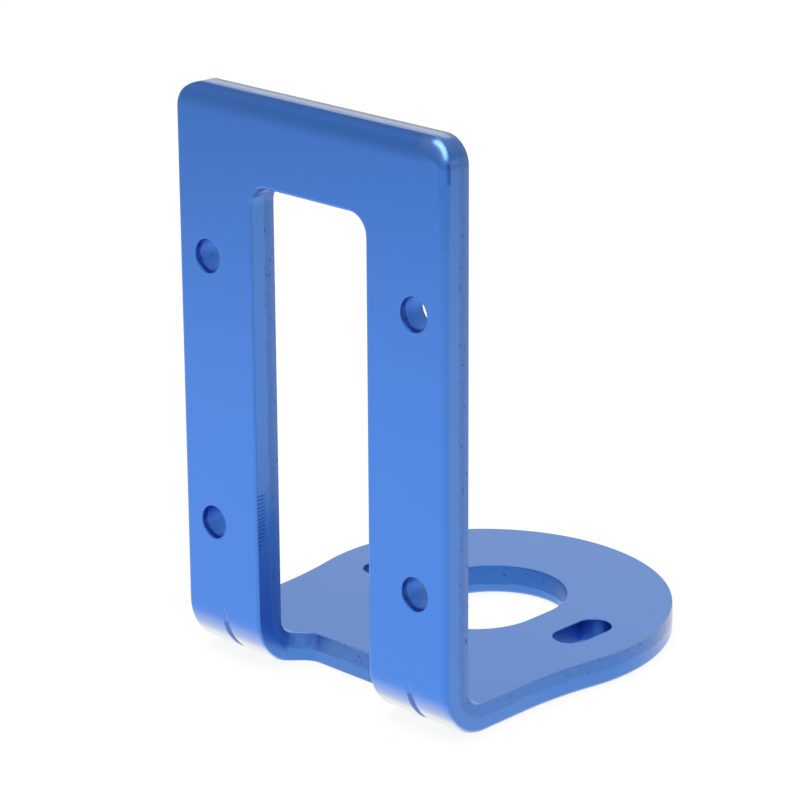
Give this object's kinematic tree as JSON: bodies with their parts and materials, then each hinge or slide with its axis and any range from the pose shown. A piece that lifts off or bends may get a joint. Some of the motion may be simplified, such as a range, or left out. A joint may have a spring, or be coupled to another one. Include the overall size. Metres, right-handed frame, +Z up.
{
  "type": "motor mounting bracket",
  "caption": "L-shaped sheet bracket: a windowed upright plate with fixing holes, bent into a round-ended foot with a boss opening and screw slots for a sliding motor.",
  "frame": {"origin": "centre of the bounding box at its base, on the underside of the foot", "axes": "+Z up along the plate, -Y out of the plate's outer face, +Y along the foot towards its round end, +X along the bend"},
  "size_m": [0.0364, 0.0416, 0.0558],
  "materials": {
    "anodised_sheet": "satin blue anodised sheet with rolled and broken cut edges"
  },
  "bodies": {
    "root": {"bracket": "anodised_sheet"}
  },
  "joints": []
}
